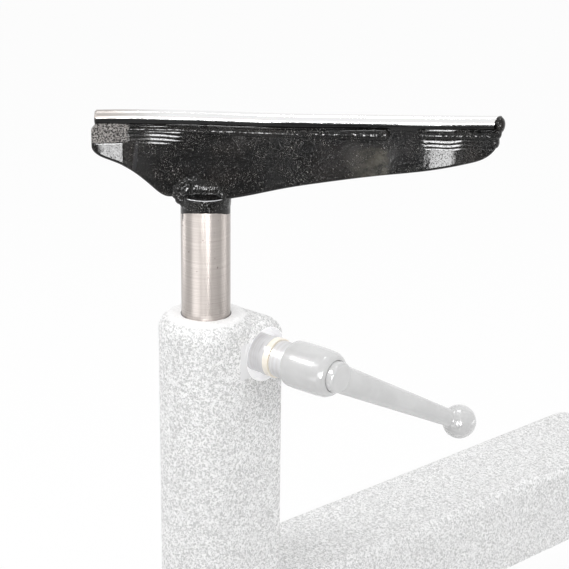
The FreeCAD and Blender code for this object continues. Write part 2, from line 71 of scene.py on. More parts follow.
# ---------------------------------------------------------------- studio
# White room with a white floor below the bed clamp. Three soft lamps light the piece, and no mirror image
# shows them: what gloss black and bare steel mirror are the small lamps and two grey cards by the camera.
class Wire:
    """Output of a node. A sum of wires and numbers adds its Math nodes; node() adds any other."""

    def __init__(self, socket):
        self.socket = socket

    @classmethod
    def node(cls, tree, kind, settings=None, values=None, output=0):
        made = tree.nodes.new(kind)
        for name, value in (settings or {}).items():
            if name == "stops":
                ramp = made.color_ramp
                while len(ramp.elements) < len(value):
                    ramp.elements.new(0.5)
                for element, (position, colour) in zip(ramp.elements, value):
                    element.position = position
                    element.color = colour
            else:
                setattr(made, name, value)
        for key, value in (values or {}).items():
            if isinstance(value, Wire):
                tree.links.new(value.socket, made.inputs[key])
            else:
                made.inputs[key].default_value = value
        return cls(made.outputs[output]) if made.outputs else None

    def other(self, output):
        return Wire(self.socket.node.outputs[output])

    def maths(self, operation, *terms):
        tree = self.socket.id_data
        return Wire.node(tree, "ShaderNodeMath", {"operation": operation}, dict(enumerate(terms)))

    def __add__(self, term):
        return self.maths("ADD", self, term)

    def __radd__(self, term):
        return self.maths("ADD", term, self)

    def __sub__(self, term):
        return self.maths("SUBTRACT", self, term)

    def __rsub__(self, term):
        return self.maths("SUBTRACT", term, self)

    def __mul__(self, term):
        return self.maths("MULTIPLY", self, term)

    def __rmul__(self, term):
        return self.maths("MULTIPLY", term, self)

    def __pow__(self, term):
        return self.maths("POWER", self, term)

    def step(self, low, high):
        """0 below the first value, 1 above the second, smooth between them."""
        settings = {"interpolation_type": "SMOOTHSTEP"}
        values = {"Value": self, "From Min": low, "From Max": high}
        return Wire.node(self.socket.id_data, "ShaderNodeMapRange", settings, values)

    def between(self, low, high, soft):
        """1 between two values, fading out over a soft distance on both sides."""
        return self.step(low - soft, low) * (1 - self.step(high, high + soft))


rest_turn = math.radians(49.0)
rest_along = Vector((math.cos(rest_turn), math.sin(rest_turn), 0.0))
rest_front = Vector((math.sin(rest_turn), -math.cos(rest_turn), 0.0))

room = bpy.data.worlds.new("room")
room.use_nodes = True
scene.world = room
room.node_tree.nodes.clear()
rays = Wire.node(room.node_tree, "ShaderNodeLightPath", output="Is Camera Ray")
seen = rays.maths("MAXIMUM", rays, rays.other("Is Glossy Ray"))
seen = rays.maths("MAXIMUM", seen, rays.other("Is Transmission Ray"))
room_level = 0.62
white = Wire.node(room.node_tree, "ShaderNodeBackground",
                  values={"Color": (1, 1, 1, 1), "Strength": seen * (1 - room_level) + room_level})
Wire.node(room.node_tree, "ShaderNodeOutputWorld", values={"Surface": white})


def lamp(name, place, aim, size, power, lights):
    """Soft rectangular lamp. It lights only matt surfaces, or shows only as a mirror image on gloss."""
    light = bpy.data.lights.new(name, "AREA")
    light.shape = "RECTANGLE"
    light.size, light.size_y = size
    light.energy = power
    stand = bpy.data.objects.new(name, light)
    direction = Vector(aim) - Vector(place)
    stand.matrix_world = Matrix.Translation(place) @ direction.to_track_quat("-Z", "Y").to_matrix().to_4x4()
    stand.visible_camera = False
    stand.visible_diffuse = lights == "matt"
    stand.visible_glossy = lights == "gloss"
    scene.collection.objects.link(stand)


def before_rest(along, front, height):
    """Place given along the rest, out in front of it, and above the bed."""
    return rest_along * along + rest_front * front + Vector((0.0, 0.0, height))


def grey_card(name, left, right, front, low, high, level):
    """Upright card that only mirror images show, as the dark cards beside a camera do."""
    card = bpy.data.meshes.new(name)
    edges = ((left, low), (right, low), (right, high), (left, high))
    card.from_pydata([before_rest(along, front, height) for along, height in edges], [], [(0, 1, 2, 3)])
    shade = bpy.data.materials.new(name)
    shade.use_nodes = True
    shade.node_tree.nodes.clear()
    glow = Wire.node(shade.node_tree, "ShaderNodeEmission", values={"Color": (1, 1, 1, 1), "Strength": level})
    Wire.node(shade.node_tree, "ShaderNodeOutputMaterial", values={"Surface": glow})
    card.materials.append(shade)
    stand = bpy.data.objects.new(name, card)
    stand.visible_camera = False
    stand.visible_diffuse = False
    stand.visible_shadow = False
    scene.collection.objects.link(stand)


rest_middle = Vector((0.0, 0.0, 0.29))
lamp("lamp_above", (0.1, -0.1, 1.3), (0.0, 0.05, 0.2), (0.9, 0.9), 7.0, "matt")
lamp("lamp_left", (-0.25, -1.0, 0.75), (0.0, 0.0, 0.28), (0.3, 0.7), 4.0, "matt")
lamp("lamp_right", (1.05, 0.35, 0.6), (0.0, 0.1, 0.25), (0.3, 0.7), 3.0, "matt")
lamp("lamp_streak", (-0.05, 0.17, 1.15), (0.09, 0.05, 0.17), (0.25, 0.25), 2.2, "gloss")
lamp("lamp_window", (-0.25, -0.49, 0.69), (0.05, 0.02, 0.19), (0.10, 0.16), 3.6, "gloss")
lamp("lamp_low", before_rest(0.200, 0.82, 0.058), rest_middle, (0.080, 0.055), 0.45, "gloss")
lamp("lamp_streaks_left", before_rest(-0.138, 0.82, 0.31), rest_middle, (0.105, 0.36), 5.5, "gloss")
lamp("lamp_streaks_right", before_rest(0.19, 0.82, 0.31), rest_middle, (0.10, 0.36), 5.5, "gloss")
lamp("lamp_neck_left", before_rest(-0.45, -0.21, 0.095), (0.0, 0.0, 0.272), (0.20, 0.026), 0.07, "gloss")
lamp("lamp_neck_right", before_rest(0.49, -0.08, 0.095), (0.0, 0.0, 0.272), (0.20, 0.026), 0.07, "gloss")
lamp("lamp_post", before_rest(-0.36, 0.38, 0.0), (0.0, 0.0, 0.22), (0.36, 0.25), 0.42, "gloss")
grey_card("card_far", -0.45, 0.80, 0.90, -0.05, 0.16, 0.30)
grey_card("card_near", 0.0, 0.24, 0.45, -0.06, 0.114, 0.22)

floor_height = cad_box[0][2] - 0.0003
floor_reach = 4.0
floor_white = (0.93, 0.93, 0.93, 1)
floor_glow = 0.93
bench = bpy.data.meshes.new("floor")
corners = ((-1, -1), (1, -1), (1, 1), (-1, 1))
bench.from_pydata([(x * floor_reach, y * floor_reach, floor_height) for x, y in corners], [], [(0, 1, 2, 3)])
floor = bpy.data.objects.new("floor", bench)
scene.collection.objects.link(floor)
floor_paint = bpy.data.materials.new("floor_white")
floor_paint.use_nodes = True
floor_paint.node_tree.nodes.clear()
tree = floor_paint.node_tree
rays = Wire.node(tree, "ShaderNodeLightPath", output="Is Camera Ray")
seen = rays.maths("MAXIMUM", rays, rays.other("Is Glossy Ray"))
matt = Wire.node(tree, "ShaderNodeBsdfDiffuse", values={"Color": floor_white})
glow = Wire.node(tree, "ShaderNodeEmission", values={"Color": (1, 1, 1, 1), "Strength": 1.0})
both = Wire.node(tree, "ShaderNodeMixShader", values={0: seen * floor_glow, 1: matt, 2: glow})
Wire.node(tree, "ShaderNodeOutputMaterial", values={"Surface": both})
bench.materials.append(floor_paint)


# ---------------------------------------------------------------- holder casting
# Grey iron, sprayed with a pale vein paint. The flat round the clamp and its pocket were masked off,
# so they are smooth, and the bore is machined bare. The pocket's shade is lifted by painted light:
# a near-white colour and a weak glow keep it nearly white.
def blank_finish(name):
    """New material with an empty tree."""
    material = bpy.data.materials.new(name)
    material.use_nodes = True
    material.node_tree.nodes.clear()
    return material, material.node_tree


def coat(tree, values):
    """Closes a material with one surface shader."""
    shader = Wire.node(tree, "ShaderNodeBsdfPrincipled", values=values)
    Wire.node(tree, "ShaderNodeOutputMaterial", values={"Surface": shader})


def blend(tree, share, first, second):
    """Colour between two colours."""
    return Wire.node(tree, "ShaderNodeMix", {"data_type": "RGBA"}, {0: share, 6: first, 7: second}, 2)


def grain(tree, place, scale, detail=2.0, roughness=0.5, distortion=0.0):
    """Cloudy noise, about 0.5 on average."""
    values = {"Vector": place, "Scale": scale, "Detail": detail, "Roughness": roughness,
              "Distortion": distortion}
    return Wire.node(tree, "ShaderNodeTexNoise", values=values)


def stretched(tree, place, scales):
    """The same place, measured more finely along some directions."""
    return Wire.node(tree, "ShaderNodeMapping", values={0: place, 3: scales})


def relief(tree, height, depth):
    """Bumps of a given depth in metres."""
    return Wire.node(tree, "ShaderNodeBump", values={"Height": height, "Strength": 1.0, "Distance": depth})


def position(tree):
    """Object coordinates, and their three parts."""
    place = Wire.node(tree, "ShaderNodeTexCoord", output="Object")
    x = Wire.node(tree, "ShaderNodeSeparateXYZ", values={0: place})
    return place, x, x.other("Y"), x.other("Z")


clamp_turn = math.radians(10.0)
clamp_offset = 0.018
clamp_height = 0.1912
column_top = 0.213
bore_radius = 0.0128
bore_foot = 0.070
# Radii of a dark ring at the bore's mouth: a painted shadow of the gap round the post.
shadow_ring_inner, shadow_ring_outer = 0.01270, 0.01305
pocket_radius = 0.0145
pocket_floor = 0.0193
boss_face = 0.0232
masked_reach = 0.0190
masked_half = 0.0094
blur = 0.0004
vein_light = (0.93, 0.93, 0.93, 1)
vein_dark = (0.50, 0.50, 0.50, 1)
masked_grey = (0.76, 0.76, 0.77, 1)
# The pocket's near-white colour and its glow are painted light that lifts the pocket's shade.
pocket_painted_light = (0.97, 0.97, 0.98, 1)
pocket_glow = (0.20, 0.20, 0.20, 1)
cloud_grey = (0.80, 0.80, 0.80, 1)
mouth_shadow_dark = (0.10, 0.10, 0.10, 1)
no_glow = (0, 0, 0, 1)

vein_paint, tree = blank_finish("vein_paint")
place, x, y, z = position(tree)
cells = grain(tree, place, 800.0, 2.0, 0.6, 1.2)
veins = cells.step(0.42, 0.60)
# The veins fade on the column's top face, so the face looking up reads lighter: a painted sheen.
top_face_sheen = z.step(column_top - 0.0016, column_top - 0.0003)
veins = veins * (1 - top_face_sheen * 0.75)
clouds = grain(tree, place, 60.0)
radius = (x * x + y * y) ** 0.5
along_clamp = x * math.cos(clamp_turn) + y * math.sin(clamp_turn)
across_clamp = y * math.cos(clamp_turn) - x * math.sin(clamp_turn) - clamp_offset
from_clamp = (across_clamp * across_clamp + (z - clamp_height) * (z - clamp_height)) ** 0.5
bore = (1 - radius.step(bore_radius, bore_radius + 0.0001)) * z.step(bore_foot, bore_foot + 0.001)
pocket = along_clamp.step(pocket_floor, pocket_floor + blur)
pocket = pocket * (1 - from_clamp.step(pocket_radius, pocket_radius + 0.0002))
masked = along_clamp.step(boss_face, boss_face + blur) * across_clamp.between(-masked_reach, 0.0, blur)
masked = masked * z.between(clamp_height - masked_half, clamp_height + masked_half, blur)
bare = bore.maths("MAXIMUM", bore, pocket)
bare = bare.maths("MAXIMUM", bare, masked)
paint_colour = blend(tree, veins, vein_light, vein_dark)
paint_colour = blend(tree, clouds * 0.18, paint_colour, cloud_grey)
paint_colour = blend(tree, bare, paint_colour, masked_grey)
paint_colour = blend(tree, pocket, paint_colour, pocket_painted_light)
sideways = x * math.cos(rest_turn) + y * math.sin(rest_turn)
# Painted shadow: a dark ring at the bore's mouth, on both sides of the post, where the gap is in shade.
mouth_shadow = radius.between(shadow_ring_inner, shadow_ring_outer, 0.00015)
mouth_shadow = mouth_shadow * sideways.maths("ABSOLUTE", sideways).step(0.0085, 0.0105)
mouth_shadow = mouth_shadow * z.step(column_top - 0.013, column_top - 0.003)
coat(tree, {"Base Color": blend(tree, mouth_shadow, paint_colour, mouth_shadow_dark),
            "Roughness": 0.42 + veins * 0.18 - bare * 0.1, "Emission Strength": 1.0,
            "Emission Color": blend(tree, pocket, no_glow, pocket_glow),
            "Normal": relief(tree, veins * (1 - bare) * -1.0, 0.00010)})
nodes["holder_casting"].material_slots[0].material = vein_paint

# ---------------------------------------------------------------- bed clamp
# Steel cam shaft in brass bushes, turned by a handle. It draws up the eye bolt, whose plate, washer and
# nut grip the bed from below.
steel_shades = (0.62, 0.625, 0.64, 1), (0.74, 0.75, 0.765, 1)
brass_shades = (0.90, 0.83, 0.72, 1), (0.96, 0.92, 0.84, 1)

pale_steel, tree = blank_finish("pale_steel")
place, x, y, z = position(tree)
marks = grain(tree, stretched(tree, place, (60.0, 60.0, 1400.0)), 1.0, 3.0)
blotches = grain(tree, place, 90.0, 3.0)
coat(tree, {"Base Color": blend(tree, blotches.step(0.3, 0.7), *steel_shades),
            "Metallic": 0.45, "Roughness": 0.30 + marks * 0.16,
            "Normal": relief(tree, marks, 0.00002)})
for name in ("cam_shaft", "shaft_ring", "handle_set_screw", "handle_rod", "clamp_bolt", "clamp_plate",
             "clamp_washer", "clamp_nut"):
    nodes[name].material_slots[0].material = pale_steel

pale_brass, tree = blank_finish("pale_brass")
place, x, y, z = position(tree)
blotches = grain(tree, place, 160.0, 3.0)
coat(tree, {"Base Color": blend(tree, blotches.step(0.3, 0.7), *brass_shades),
            "Metallic": 0.45, "Roughness": 0.22 + blotches * 0.15,
            "Normal": relief(tree, blotches, 0.00003)})
for name in ("front_bush", "rear_bush", "brass_washer"):
    nodes[name].material_slots[0].material = pale_brass

# ---------------------------------------------------------------- column clamp
# Turned steel cotters that a stud draws together round the post, with the steel washer, the toothed insert
# and its spring. Their lathe marks run round the clamp's axis.
turned_shades = (0.60, 0.59, 0.59, 1), (0.66, 0.66, 0.67, 1)

turned_steel, tree = blank_finish("turned_steel")
place, x, y, z = position(tree)
along_clamp = x * math.cos(clamp_turn) + y * math.sin(clamp_turn)
lathe_marks = Wire.node(tree, "ShaderNodeTexNoise", {"noise_dimensions": "1D"},
                        {"W": along_clamp, "Scale": 2600.0, "Detail": 3.0})
tint = Wire.node(tree, "ShaderNodeTexNoise", {"noise_dimensions": "1D"},
                 {"W": along_clamp, "Scale": 700.0, "Detail": 1.0})
coat(tree, {"Base Color": blend(tree, tint.step(0.35, 0.65), *turned_shades),
            "Metallic": 0.30, "Roughness": 0.30 + lathe_marks * 0.14,
            "Normal": relief(tree, lathe_marks, 0.00002)})
for name in ("cotter_outer", "cotter_inner", "clamp_stud", "steel_washer", "lever_insert", "lever_spring"):
    nodes[name].material_slots[0].material = turned_steel

# ---------------------------------------------------------------- post
# Turned steel bar with fine rings. The black paint of the rest runs down over its neck to a line that rises
# a little in front, and one run of paint goes further down at the left.
paint_line = 0.2699
front_rise = 0.34
run_left, run_right = 2.62, 2.70
run_end = 0.2645
ring_shades = (0.36, 0.325, 0.305, 1), (0.52, 0.48, 0.455, 1)
band_shade = (0.33, 0.30, 0.28, 1)
pit_shade = (0.10, 0.08, 0.07, 1)
neck_black = (0.006, 0.006, 0.006, 1)

post_steel, tree = blank_finish("post_steel")
place, x, y, z = position(tree)
rings = grain(tree, stretched(tree, place, (14.0, 14.0, 2600.0)), 1.0, 4.0, 0.6)
bands = grain(tree, stretched(tree, place, (160.0, 160.0, 9.0)), 1.0, 2.0)
pits = grain(tree, place, 700.0, 1.0).step(0.74, 0.80)
forward = x * math.sin(rest_turn) - y * math.cos(rest_turn)
rise = (forward.maths("MAXIMUM", forward, 0.004) - 0.010) * front_rise
edge = grain(tree, place, 220.0, 3.0) * 0.0010 + z - rise
painted = edge.step(paint_line + 0.0004, paint_line + 0.0006)
round_post = Wire.node(tree, "ShaderNodeMath", {"operation": "ARCTAN2"},
                       {0: forward, 1: x * math.cos(rest_turn) + y * math.sin(rest_turn)})
run = round_post.between(run_left, run_right, 0.03) * z.step(run_end, run_end + 0.0015)
painted = painted.maths("MAXIMUM", painted, run)
bare_steel = blend(tree, rings.step(0.25, 0.75), *ring_shades)
bare_steel = blend(tree, bands.step(0.35, 0.65) * 0.5, bare_steel, band_shade)
bare_steel = blend(tree, pits, bare_steel, pit_shade)
coat(tree, {"Base Color": blend(tree, painted, bare_steel, neck_black),
            "Metallic": (1 - painted) * 0.9, "Specular IOR Level": 0.3,
            "Roughness": (rings * 0.10 + 0.24) * (1 - painted * 0.8),
            "Normal": relief(tree, rings * (1 - painted), 0.000006)})
nodes["post"].material_slots[0].material = post_steel


# ---------------------------------------------------------------- lever
# Cast lever in gloss enamel, its arm and ball run into the hub with soft corners. It is lifted against
# a spring to turn freely on the toothed insert.
def merged(node, name):
    """New object with a node's mesh, its triangles joined at their corners."""
    body = bmesh.new()
    body.from_mesh(nodes[node].data)
    bmesh.ops.remove_doubles(body, verts=body.verts, dist=2e-6)
    mesh = bpy.data.meshes.new(name)
    body.to_mesh(mesh)
    body.free()
    piece = bpy.data.objects.new(name, mesh)
    scene.collection.objects.link(piece)
    return piece


def finished(piece):
    """Turns an object with live modifiers into a plain smooth mesh."""
    mesh = bpy.data.meshes.new_from_object(piece.evaluated_get(bpy.context.evaluated_depsgraph_get()))
    piece.modifiers.clear()
    piece.data = mesh
    mesh.name = piece.name
    for face in mesh.polygons:
        face.use_smooth = True


def softened(piece, grid, passes, held=None):
    """Rounds a piece's corners, as paint and casting do, but for the points that held() names."""
    cells = piece.modifiers.new("cells", "REMESH")
    cells.mode = "VOXEL"
    cells.voxel_size = grid
    finished(piece)
    easing = piece.modifiers.new("easing", "SMOOTH")
    easing.factor = 0.5
    easing.iterations = passes
    if held:
        free = piece.vertex_groups.new(name="free")
        free.add([corner.index for corner in piece.data.vertices if not held(corner.co)], 1.0, "REPLACE")
        easing.vertex_group = "free"
    finished(piece)
    piece.vertex_groups.clear()


enamel_shades = (0.53, 0.53, 0.53, 1), (0.58, 0.58, 0.58, 1)
hub_bore = 0.0098
casting_grid = 0.0004
cap_growth = 1.024
cap_edge = 0.0009

lever_enamel, tree = blank_finish("lever_enamel")
place, x, y, z = position(tree)
skin = grain(tree, place, 150.0, 2.0)
wear = grain(tree, place, 70.0, 4.0, 0.6)
coat(tree, {"Base Color": blend(tree, wear.step(0.35, 0.7), *enamel_shades),
            "Roughness": 0.20 + wear * 0.08, "Coat Weight": 1.0, "Coat Roughness": 0.02,
            "Normal": relief(tree, skin, 0.00010)})
for name in ("handle_hub", "handle_knob"):
    nodes[name].material_slots[0].material = lever_enamel
clamp_along = Vector((math.cos(clamp_turn), math.sin(clamp_turn), 0.0))
clamp_side = Vector((-math.sin(clamp_turn), math.cos(clamp_turn), 0.0))
clamp_middle = clamp_side * clamp_offset + Vector((0.0, 0.0, clamp_height))


def hub_mouth(spot):
    """Whether a point of the lever lies at the open end of its hub, where the cap screw fits closely."""
    return (spot - clamp_along * spot.dot(clamp_along) - clamp_middle).length < hub_bore


lever_casting = merged("lever_handle", "lever_casting")
softened(lever_casting, casting_grid, 6, hub_mouth)
lever_casting.data.materials.append(lever_enamel)
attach(lever_casting, "lever")
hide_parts("lever_handle")

cap_head = merged("lever_cap", "cap_head")
for corner in cap_head.data.vertices:
    inward = clamp_middle + clamp_along * corner.co.dot(clamp_along)
    corner.co = inward + (corner.co - inward) * cap_growth
for face in cap_head.data.polygons:
    face.use_smooth = True
bevel = cap_head.modifiers.new("edge", "BEVEL")
bevel.width = cap_edge
bevel.segments = 4
bevel.limit_method = "ANGLE"
bevel.angle_limit = math.radians(35)
finished(cap_head)
cap_head.data.materials.clear()
cap_head.data.materials.append(lever_enamel)
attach(cap_head, "clamp_screw")
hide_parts("lever_cap")

# ---------------------------------------------------------------- rest plate
# Steel plate under thick gloss black paint, flame cut, ground round its edges and bent by welding.
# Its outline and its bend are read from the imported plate.
rod_centre = 0.3164
rod_radius = 0.004
plate_half = 0.003
plate_edge = 0.0014
plate_top = rod_centre - 0.0022
packed_plate = nodes["rest_plate"].data
rim = set()
for face in packed_plate.polygons:
    if abs(face.normal.dot(rest_front)) < 0.5 and face.center.z < rod_centre - rod_radius:
        rim.update(tuple(round(part, 6) for part in packed_plate.vertices[index].co) for index in face.vertices)
rim = [Vector(spot) for spot in rim]
stations = numpy.array([spot.dot(rest_along) for spot in rim])
offsets = numpy.array([spot.dot(rest_front) for spot in rim])
heights = numpy.array([spot.z for spot in rim])
bend = numpy.polynomial.Polynomial.fit(stations, offsets, 9)
bend_slope = bend.deriv()
plate_left, plate_right = stations.min(), stations.max()
order = numpy.lexsort((-heights, stations))
lower_stations, lower_heights = stations[order], heights[order]
left_foot = heights[stations < plate_left + 1e-5].min()
right_foot = heights[stations > plate_right - 1e-5].min()


def lower_edge(along):
    """Height of the plate's lower edge."""
    return float(numpy.interp(along, lower_stations, lower_heights))


edge_points, end_points = 4000, 200
outline = kdtree.KDTree(edge_points + 2 * end_points)
for index in range(edge_points):
    along = plate_left + (plate_right - plate_left) * index / (edge_points - 1)
    outline.insert((along, 0.0, lower_edge(along)), index)
for index in range(end_points):
    share = index / (end_points - 1)
    left_place = (plate_left, 0.0, left_foot + (rod_centre - left_foot) * share)
    right_place = (plate_right, 0.0, right_foot + (rod_centre - right_foot) * share)
    outline.insert(left_place, edge_points + index)
    outline.insert(right_place, edge_points + end_points + index)
outline.balance()

crease = -0.0415
crease_slope = 0.092
corner_cut = 0.0022
wave_depth = 0.00006
ridge_depth = 0.00008
ridge_pitch = 0.0021
ridges_left = (-0.030, -0.006)
ridges_right = (0.106, 0.116)


def smooth_step(value, low, high):
    """0 below the first value, 1 above the second, for plain numbers."""
    share = max(0.0, min(1.0, (value - low) / (high - low)))
    return share * share * (3.0 - 2.0 * share)


def on_plate(along, height, side):
    """Point on the plate's skin: side is 1 on the front, -1 on the back."""
    depth = outline.find((along, 0.0, height))[2]
    half = plate_half
    if depth < plate_edge:
        half += math.sqrt(plate_edge ** 2 - (plate_edge - depth) ** 2) - plate_edge
    slope = float(bend_slope(along)) - (crease_slope if along < crease else 0.0)
    lean = max(0.0, crease - along) * crease_slope
    rounding = smooth_step(height, rod_centre - 0.0075, rod_centre - 0.0025)
    along += corner_cut * rounding ** 2 * smooth_step(-along, -plate_left - 0.004, -plate_left)
    middle = rest_along * along + rest_front * (float(bend(along)) + lean)
    outward = (rest_front - rest_along * slope).normalized()
    wave = noise.noise(Vector((along * 55.0, side * 3.0, height * 70.0))) * wave_depth
    ridged = 1.0 - smooth_step(along, *ridges_left) + smooth_step(along, *ridges_right)
    below = rod_centre - height
    ridged *= smooth_step(below, 0.0025, 0.0035) * (1.0 - smooth_step(below, 0.0115, 0.0135))
    swirl = noise.noise(Vector((along * 90.0, side * 5.0, height * 60.0)))
    wave += ridged * math.sin(below / ridge_pitch * math.tau + swirl * 2.5) * ridge_depth
    return middle + outward * side * (half + wave * min(1.0, depth / 0.004)) + Vector((0, 0, height))


edge_shares = (0.0, 0.05, 0.14, 0.28, 0.46, 0.70, 1.0)
column_count = 380
row_count = 90
inner = [plate_left + plate_edge + (plate_right - plate_left - 2 * plate_edge) * index / column_count
         for index in range(1, column_count)]
columns = [plate_left + plate_edge * share for share in edge_shares] + inner
columns += [plate_right - plate_edge * share for share in reversed(edge_shares)]
body = bmesh.new()
skins = {}
for side in (1, -1):
    skins[side] = []
    for along in columns:
        low = lower_edge(along)
        if not plate_left < along < plate_right:
            low = right_foot if along > 0 else left_foot
        rows = [low + plate_edge * share for share in edge_shares]
        rows += [rows[-1] + (plate_top - rows[-1]) * index / row_count for index in range(1, row_count + 1)]
        skins[side].append([body.verts.new(on_plate(along, height, side)) for height in rows])
for side, skin in skins.items():
    for first, second in zip(skin, skin[1:]):
        for row in range(len(first) - 1):
            ring = (first[row], second[row], second[row + 1], first[row + 1])
            body.faces.new(ring if side > 0 else tuple(reversed(ring)))
loops = {}
for side, skin in skins.items():
    loops[side] = [column[0] for column in skin] + skin[-1][1:]
    loops[side] += [column[-1] for column in reversed(skin[:-1])] + list(reversed(skin[0][1:-1]))
for index in range(len(loops[1])):
    after = (index + 1) % len(loops[1])
    body.faces.new((loops[1][after], loops[1][index], loops[-1][index], loops[-1][after]))
bmesh.ops.recalc_face_normals(body, faces=body.faces)
plate_mesh = bpy.data.meshes.new("painted_plate")
body.to_mesh(plate_mesh)
body.free()
for face in plate_mesh.polygons:
    face.use_smooth = True
painted_plate = bpy.data.objects.new("painted_plate", plate_mesh)
scene.collection.objects.link(painted_plate)

# Height and radii of a pale arc at the post's top front edge, a painted highlight.
edge_highlight_height = 0.2772
edge_highlight_inner, edge_highlight_outer = 0.0122, 0.0133
patch_end = -0.0368
patch_foot = 0.0112
# Span of an olive patch, a painted reflection on the plate.
olive_reflection_left, olive_reflection_right = 0.066, 0.093
# Place of a grey streak on the plate's left part, a painted reflection.
streak_reflection_line = -0.0709
# Paint black, and the brown mottled over it: a painted reflection.
black, reflection_brown = (0.003, 0.003, 0.003, 1), (0.014, 0.010, 0.008, 1)
# Olive of that painted reflection.
olive_reflection_colour = (0.085, 0.078, 0.060, 1)
# Grey of the painted streak reflection.
streak_reflection_grey = (0.05, 0.05, 0.055, 1)
# Colours of the light specks over the paint, painted glints.
fine_glint_colour, glint_colour = (0.14, 0.13, 0.115, 1), (0.50, 0.48, 0.44, 1)
# Pale colour of a frosted painted reflection at the plate's left end.
frosted_reflection_colour = (0.50, 0.47, 0.45, 1)
# Grey of the painted highlight on the post's top edge.
edge_highlight_grey = (0.55, 0.55, 0.57, 1)

gloss_black, tree = blank_finish("gloss_black")
place, x, y, z = position(tree)
along = x * math.cos(rest_turn) + y * math.sin(rest_turn)
orange_peel = grain(tree, place, 420.0, 2.0)
spatter = grain(tree, place, 1700.0, 3.0, 0.7)
left_end = 1 - (along + grain(tree, place, 300.0, 3.0) * 0.004).step(patch_end, patch_end + 0.0013)
upper = z + grain(tree, place, 350.0, 3.0) * 0.002
upper = upper.step(rod_centre - patch_foot, rod_centre - patch_foot + 0.0004)
rough_patch = upper * left_end
crowded = grain(tree, place, 95.0, 3.0).step(0.42, 0.62)
# Light specks over the paint: painted glints, with bumps under them.
speck_noise = grain(tree, place, 1500.0, 3.0, 0.75, 0.6)
speck_glints = speck_noise.step(0.620, 0.670) * (crowded * 0.8 + 0.2)
fine_speck_glints = grain(tree, place, 2600.0, 2.0, 0.6).step(0.58, 0.70)
# Pale frost over the rough patch at the left end: a painted reflection.
frosted_reflection = rough_patch * grain(tree, place, 1300.0, 3.0, 0.7).step(0.44, 0.56)
# Brown mottle over the paint, a painted reflection; it also makes the paint a little rougher.
brown_reflection_mottle = grain(tree, place, 70.0, 3.0).step(0.45, 0.75)
# Olive patch low on the plate: a painted reflection.
olive_reflection = along.step(olive_reflection_left, olive_reflection_left + 0.022) * (1 - along.step(olive_reflection_right - 0.004, olive_reflection_right))
olive_reflection = olive_reflection * (1 - z.step(rod_centre - 0.016, rod_centre - 0.009))
olive_reflection = olive_reflection * grain(tree, place, 260.0, 5.0, 0.8).step(0.30, 0.65)
# Grey streak slanting down the plate's left part: a painted reflection.
streak = (along - z * 0.12).between(streak_reflection_line, streak_reflection_line + 0.0009, 0.0009) * (1 - upper) * 0.4
colour = blend(tree, brown_reflection_mottle * 0.5, black, reflection_brown)
colour = blend(tree, olive_reflection * 0.9, colour, olive_reflection_colour)
colour = blend(tree, streak, colour, streak_reflection_grey)
colour = blend(tree, fine_speck_glints * (crowded * 0.45 + 0.05), colour, fine_glint_colour)
colour = blend(tree, speck_glints * 0.85, colour, glint_colour)
colour = blend(tree, frosted_reflection * 0.8, colour, frosted_reflection_colour)
from_post = (x * x + y * y) ** 0.5
forward = x * math.sin(rest_turn) - y * math.cos(rest_turn)
# Pale arc along the post's top front edge: a painted highlight.
edge_highlight = z.between(edge_highlight_height - 0.0002, edge_highlight_height + 0.0001, 0.0001) * forward.step(0.0088, 0.0100)
edge_highlight = edge_highlight * from_post.step(edge_highlight_inner, edge_highlight_inner + 0.0002)
edge_highlight = edge_highlight * (1 - from_post.step(edge_highlight_outer - 0.0002, edge_highlight_outer))
colour = blend(tree, edge_highlight, colour, edge_highlight_grey)
coat(tree, {"Base Color": colour, "Roughness": 0.05 + brown_reflection_mottle * 0.06 + rough_patch * 0.15,
            "Specular IOR Level": 0.28,
            "Normal": relief(tree, orange_peel * 0.15 + fine_speck_glints * 0.5 + speck_glints * 0.8
                             + spatter * rough_patch * 6.0, 0.00010)})
painted_plate.data.materials.append(gloss_black)
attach(painted_plate, "rest")
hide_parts("rest_plate")

# ---------------------------------------------------------------- post weld
# Heaped weld between plate and post. The post stands a little up the plate's face there, bevelled for
# the weld, and all of it is painted over.
post_top = 0.2761
post_radius = 0.0127
post_bevel = 0.0035
paint_depth = 0.00013
sleeve_top = post_top + 0.0013
weld_grid = 0.00035


def lump(body, along, front, height, radii):
    """Rounded blob of weld metal, its three radii along, before and above."""
    turned = Matrix((rest_along, rest_front, (0, 0, 1))).transposed().to_4x4()
    place = Matrix.Translation(before_rest(along, front, height)) @ turned @ Matrix.Diagonal((*radii, 1.0))
    bmesh.ops.create_icosphere(body, subdivisions=3, radius=1.0, matrix=place)


def weld_piece(name, body, passes, roughness):
    """Runs the blobs of a weld together into one lumpy skin."""
    mesh = bpy.data.meshes.new(name)
    body.to_mesh(mesh)
    body.free()
    piece = bpy.data.objects.new(name, mesh)
    scene.collection.objects.link(piece)
    softened(piece, weld_grid, passes)
    points = [corner.co.copy() for corner in piece.data.vertices]
    outwards = [corner.normal.copy() for corner in piece.data.vertices]
    for corner, point, outward in zip(piece.data.vertices, points, outwards):
        swell = noise.noise(point * 330.0) + 0.5 * noise.noise(point * 800.0)
        corner.co = point + outward * swell * roughness
    piece.data.materials.append(gloss_black)
    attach(piece, "rest")
    return piece


